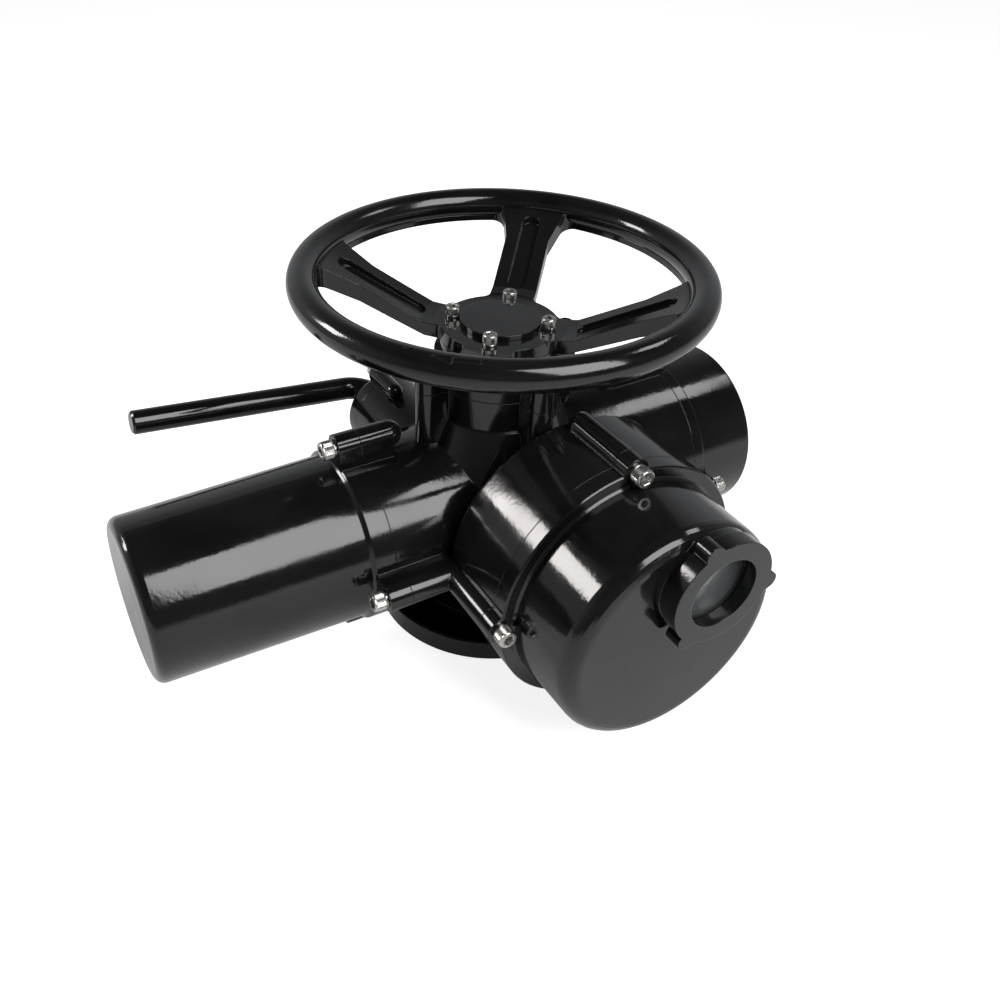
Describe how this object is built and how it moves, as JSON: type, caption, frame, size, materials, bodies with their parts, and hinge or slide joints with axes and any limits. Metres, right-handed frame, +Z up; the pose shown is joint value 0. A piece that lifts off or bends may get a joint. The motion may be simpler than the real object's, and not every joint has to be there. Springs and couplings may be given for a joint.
{
  "type": "multi-turn electric actuator",
  "caption": "Multi-turn electric valve actuator with handwheel, changeover lever, motor, switch and terminal compartments on a bolt-down valve flange.",
  "frame": {"origin": "centre of the valve flange's mounting face, on the output axis", "axes": "+Z up the output axis to the handwheel, +X to the terminal compartment, -Y to the switch compartment with the sight glass"},
  "size_m": [0.4748, 0.3538, 0.283],
  "materials": {
    "casting_paint": "gloss black paint over a die-cast aluminium alloy",
    "wheel_paint": "gloss black paint over cast iron",
    "lever_paint": "gloss black paint over steel",
    "screw_steel": "zinc-plated, slightly dull",
    "machined_steel": "ground",
    "gear_bronze": "machined bronze",
    "copper_wire": "varnished copper",
    "iron_core": "stacked electrical steel",
    "seal_rubber": "matt black nitrile",
    "sight_glass": "clear toughened glass",
    "dial_face": "pale grey",
    "block_plastic": "pale moulded plastic",
    "switch_plastic": "black moulded plastic",
    "plate_metal": "plain sheet"
  },
  "bodies": {
    "housing": {"changeover_cover": "casting_paint", "changeover_cover_screws": "screw_steel", "changeover_cover_washers": "screw_steel", "housing": "casting_paint", "lever_seal": "seal_rubber", "limit_switches": "switch_plastic", "lower_bearing": "machined_steel", "lower_shaft_seal": "seal_rubber", "motor_bearings": "machined_steel", "motor_cover": "casting_paint", "motor_cover_screws": "screw_steel", "motor_cover_washers": "screw_steel", "motor_end_shield": "plate_metal", "motor_stator": "iron_core", "motor_windings": "copper_wire", "neck_cover": "casting_paint", "neck_cover_screws": "screw_steel", "neck_cover_washers": "screw_steel", "neck_seal": "seal_rubber", "position_gear_unit": "block_plastic", "sight_glass": "sight_glass", "sight_ring": "casting_paint", "sight_seal": "seal_rubber", "switch_chassis": "plate_metal", "switch_cover": "casting_paint", "switch_cover_screws": "screw_steel", "switch_cover_washers": "screw_steel", "terminal_block": "block_plastic", "terminal_cover": "casting_paint", "terminal_cover_screws": "screw_steel", "terminal_cover_washers": "screw_steel", "terminal_plate": "plate_metal", "torque_switch_unit": "switch_plastic", "upper_bearing": "machined_steel", "worm_shaft_bearings": "machined_steel"},
    "handwheel": {"handwheel_rim": "wheel_paint", "handwheel_spider": "wheel_paint", "hub_cap": "wheel_paint", "handwheel_screws": "screw_steel", "handwheel_washers": "screw_steel", "hand_drive_sleeve": "machined_steel", "sleeve_bush": "gear_bronze"},
    "output": {"output_shaft": "machined_steel", "drive_bush": "gear_bronze"},
    "clutch": {"clutch_ring": "machined_steel"},
    "lever": {"changeover_lever": "lever_paint", "shift_fork": "machined_steel"},
    "rotor": {"motor_shaft": "machined_steel", "rotor_core": "iron_core", "motor_pinion": "machined_steel"},
    "worm_train": {"worm_shaft": "machined_steel", "worm": "machined_steel", "worm_shaft_gear": "machined_steel"},
    "wheel_gear": {"worm_wheel": "gear_bronze"},
    "indicator": {"indicator_dial": "dial_face", "indicator_spindle": "machined_steel"}
  },
  "joints": [
    {"name": "handwheel_turn", "type": "hinge", "parent": "housing", "child": "handwheel", "pos_m": [0, 0, 0.238], "axis": [0, 0, 1], "continuous": true},
    {"name": "output_turn", "type": "hinge", "parent": "housing", "child": "output", "pos_m": [0, 0, 0], "axis": [0, 0, 1], "continuous": true},
    {"name": "clutch_slide", "type": "slide", "parent": "output", "child": "clutch", "axis": [0, 0, 1], "range_m": [-0.0123, 0]},
    {"name": "lever_swing", "type": "hinge", "parent": "housing", "child": "lever", "pos_m": [-0.044, 0.05, 0.131], "axis": [0, 1, 0], "range_deg": [0, 16]},
    {"name": "rotor_spin", "type": "hinge", "parent": "housing", "child": "rotor", "pos_m": [-0.17, 0, 0.0983], "axis": [1, 0, 0], "continuous": true},
    {"name": "worm_spin", "type": "hinge", "parent": "housing", "child": "worm_train", "pos_m": [0, -0.036, 0.0983], "axis": [1, 0, 0], "continuous": true},
    {"name": "wheel_gear_spin", "type": "hinge", "parent": "housing", "child": "wheel_gear", "pos_m": [0, 0, 0.0983], "axis": [0, 0, 1], "continuous": true},
    {"name": "indicator_turn", "type": "hinge", "parent": "housing", "child": "indicator", "pos_m": [0.0352, -0.17, 0.1441], "axis": [0, 1, 0], "continuous": true}
  ],
  "couplings": [
    {"joint": "output_turn", "follows": "handwheel_turn", "ratio": 1},
    {"joint": "indicator_turn", "follows": "handwheel_turn", "ratio": -0.04},
    {"joint": "clutch_slide", "follows": "lever_swing", "m_per_rad": -0.044},
    {"joint": "worm_spin", "follows": "rotor_spin", "ratio": -1.1818},
    {"joint": "wheel_gear_spin", "follows": "rotor_spin", "ratio": 0.029545}
  ]
}
